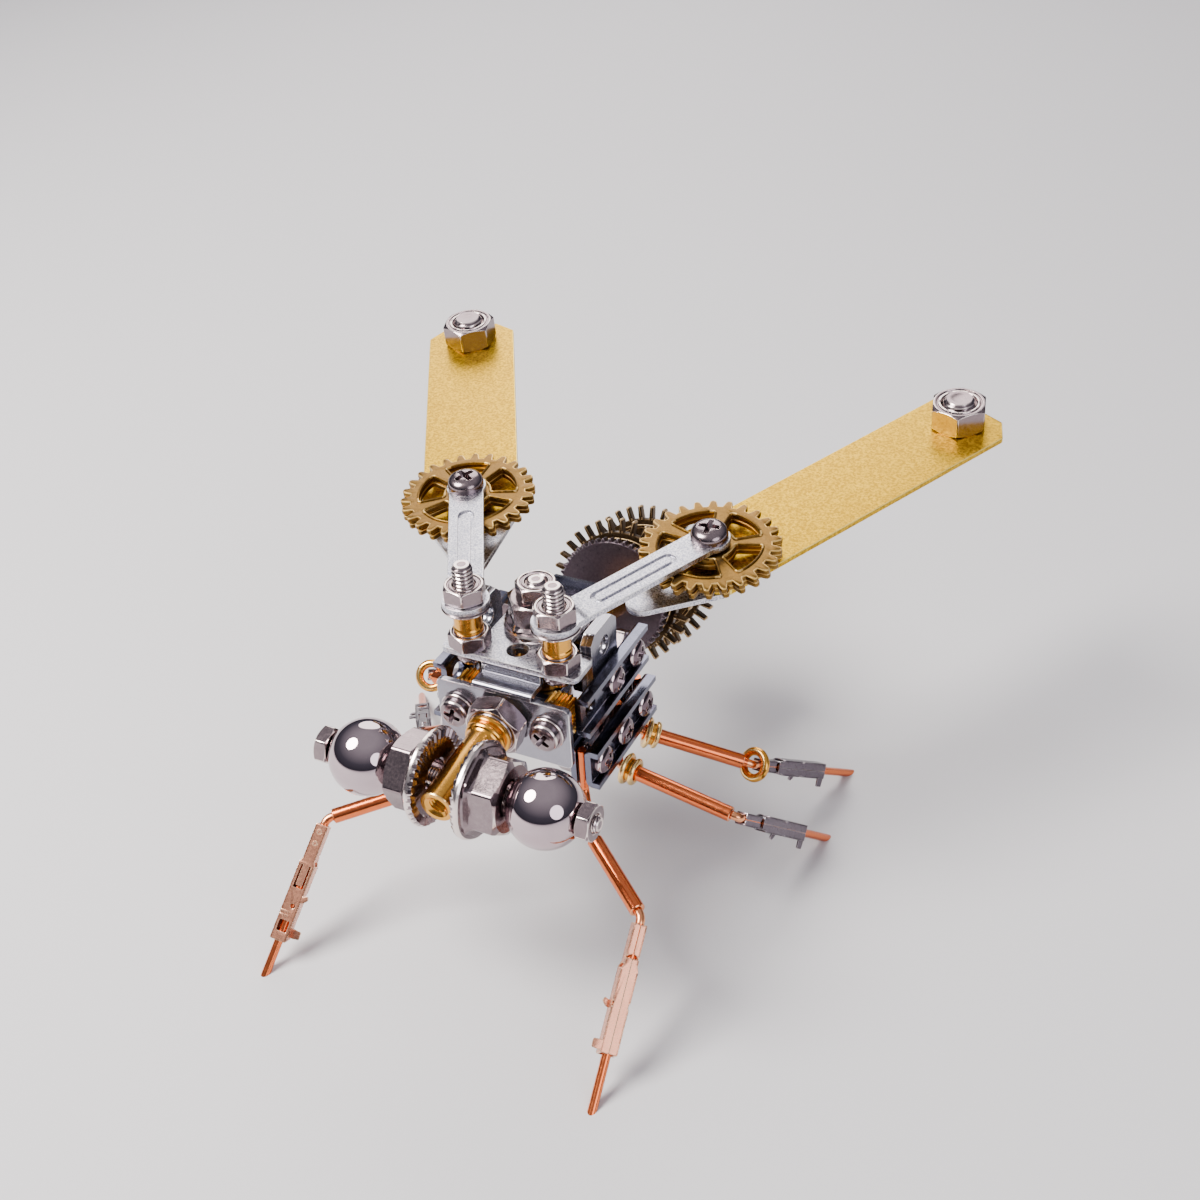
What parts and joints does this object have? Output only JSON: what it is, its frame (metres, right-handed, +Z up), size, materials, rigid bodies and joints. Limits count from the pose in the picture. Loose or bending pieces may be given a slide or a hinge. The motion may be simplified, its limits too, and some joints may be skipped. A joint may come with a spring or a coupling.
{
  "type": "winged insect robot figure",
  "caption": "Winged six-legged mechanical insect built from nuts, screws, brackets, gears and copper tube, with swinging wings.",
  "frame": {"origin": "on the floor, under the middle of the whole figure's length and width", "axes": "+Z up, +Y towards the tail and the wing tips, the head looks along -Y, +X the figure's left-hand side as it faces the viewer"},
  "size_m": [0.1028, 0.1099, 0.0599],
  "materials": {
    "galvanised_plate": "galvanised, fine speckle",
    "dark_bracket": "polished zinc, dark reflections",
    "plated_steel": "bright plated",
    "brass": "satin brass",
    "antique_brass": "antique brass, bright on edges",
    "gunmetal": "dark satin",
    "chrome_ball": "mirror",
    "copper": "bright copper",
    "tinned": "tinned, satin"
  },
  "bodies": {
    "thorax": {"crown_plate": "galvanised_plate", "front_bracket": "dark_bracket", "inner_cradle": "dark_bracket", "outer_cradle": "dark_bracket", "leg_frame": "dark_bracket", "tail_bracket": "dark_bracket", "side_channels": "dark_bracket", "side_screws": "plated_steel", "front_screws": "plated_steel", "knurled_nuts": "brass", "neck_nut": "plated_steel", "pillar_screws": "plated_steel", "pillar_spacers": "brass", "pillar_washers": "plated_steel", "small_nuts": "plated_steel", "crown_bolt": "plated_steel", "crown_flange_nut": "plated_steel", "core_spacer": "brass", "clamp_nuts": "plated_steel", "tail_screw": "plated_steel", "tail_spacers": "brass", "tail_nuts": "plated_steel"},
    "head": {"neck_sleeve": "brass", "eye_axle": "plated_steel", "head_flange_nuts": "plated_steel", "eye_balls": "chrome_ball", "eye_nuts": "plated_steel"},
    "wing_left": {"wing_arm_left": "galvanised_plate", "wing_hub_screw_left": "plated_steel", "wing_hub_nut_left": "plated_steel"},
    "wing_gear_left": {"wing_gear_left": "antique_brass"},
    "blade_left": {"wing_blade_left": "brass", "wing_backing_left": "galvanised_plate", "wing_tip_screw_left": "plated_steel", "wing_tip_nut_left": "plated_steel"},
    "wing_right": {"wing_arm_right": "galvanised_plate", "wing_hub_screw_right": "plated_steel", "wing_hub_nut_right": "plated_steel"},
    "wing_gear_right": {"wing_gear_right": "antique_brass"},
    "blade_right": {"wing_blade_right": "brass", "wing_backing_right": "galvanised_plate", "wing_tip_screw_right": "plated_steel", "wing_tip_nut_right": "plated_steel"},
    "tail_disc": {"tail_disc": "gunmetal"},
    "tail_gear_front": {"tail_gear_front": "antique_brass"},
    "tail_gear_rear": {"tail_gear_rear": "antique_brass"},
    "leg_front_left": {"leg_front_left": "copper", "shin_front_left": "tinned"},
    "leg_front_right": {"leg_front_right": "copper", "shin_front_right": "tinned"},
    "leg_mid_left": {"leg_mid_left": "copper", "shin_mid_left": "tinned"},
    "leg_mid_right": {"leg_mid_right": "copper", "shin_mid_right": "tinned"},
    "leg_rear_left": {"leg_rear_left": "copper", "shin_rear_left": "tinned"},
    "leg_rear_right": {"leg_rear_right": "copper", "shin_rear_right": "tinned"}
  },
  "joints": [
    {"name": "head_roll", "type": "hinge", "parent": "thorax", "child": "head", "pos_m": [0, -0.02519, 0.03597], "axis": [0, -0.996, -0.0889], "range_deg": [-25, 25]},
    {"name": "wing_swing_left", "type": "hinge", "parent": "thorax", "child": "wing_left", "pos_m": [-0.00706, -0.0186, 0.05065], "axis": [0, 0, -1], "range_deg": [-30, 12]},
    {"name": "blade_swing_left", "type": "hinge", "parent": "wing_left", "child": "blade_left", "pos_m": [-0.02004, 0.00487, 0.0532], "axis": [0.0029, 0.1098, -0.994], "range_deg": [-15, 15]},
    {"name": "wing_gear_spin_left", "type": "hinge", "parent": "wing_left", "child": "wing_gear_left", "pos_m": [-0.02004, 0.00487, 0.0532], "axis": [-0.0029, -0.1098, 0.994], "continuous": true},
    {"name": "wing_swing_right", "type": "hinge", "parent": "thorax", "child": "wing_right", "pos_m": [0.00706, -0.0186, 0.05065], "axis": [0, 0, 1], "range_deg": [-30, 12]},
    {"name": "blade_swing_right", "type": "hinge", "parent": "wing_right", "child": "blade_right", "pos_m": [0.02004, 0.00487, 0.0532], "axis": [0.0029, -0.1098, 0.994], "range_deg": [-15, 15]},
    {"name": "wing_gear_spin_right", "type": "hinge", "parent": "wing_right", "child": "wing_gear_right", "pos_m": [0.02004, 0.00487, 0.0532], "axis": [0.0029, -0.1098, 0.994], "continuous": true},
    {"name": "tail_disc_spin", "type": "hinge", "parent": "thorax", "child": "tail_disc", "pos_m": [0, 0.01261, 0.03362], "axis": [0, 0.9494, -0.314], "continuous": true},
    {"name": "tail_gear_front_spin", "type": "hinge", "parent": "thorax", "child": "tail_gear_front", "pos_m": [0, 0.0157, 0.0326], "axis": [0, 0.9494, -0.314], "continuous": true},
    {"name": "tail_gear_rear_spin", "type": "hinge", "parent": "thorax", "child": "tail_gear_rear", "pos_m": [0, 0.02576, 0.02927], "axis": [0, 0.9494, -0.314], "continuous": true},
    {"name": "hip_front_left", "type": "hinge", "parent": "thorax", "child": "leg_front_left", "pos_m": [-0.01055, -0.0201, 0.0238], "axis": [0, 0, -1], "range_deg": [-6, 6]},
    {"name": "hip_front_right", "type": "hinge", "parent": "thorax", "child": "leg_front_right", "pos_m": [0.01055, -0.0201, 0.0238], "axis": [0, 0, 1], "range_deg": [-6, 6]},
    {"name": "hip_mid_left", "type": "hinge", "parent": "thorax", "child": "leg_mid_left", "pos_m": [-0.01055, -0.0084, 0.0238], "axis": [0, 0, -1], "range_deg": [-6, 6]},
    {"name": "hip_mid_right", "type": "hinge", "parent": "thorax", "child": "leg_mid_right", "pos_m": [0.01055, -0.0084, 0.0238], "axis": [0, 0, 1], "range_deg": [-6, 6]},
    {"name": "hip_rear_left", "type": "hinge", "parent": "thorax", "child": "leg_rear_left", "pos_m": [-0.01055, -0.0016, 0.0238], "axis": [0, 0, -1], "range_deg": [-6, 6]},
    {"name": "hip_rear_right", "type": "hinge", "parent": "thorax", "child": "leg_rear_right", "pos_m": [0.01055, -0.0016, 0.0238], "axis": [0, 0, 1], "range_deg": [-6, 6]}
  ]
}
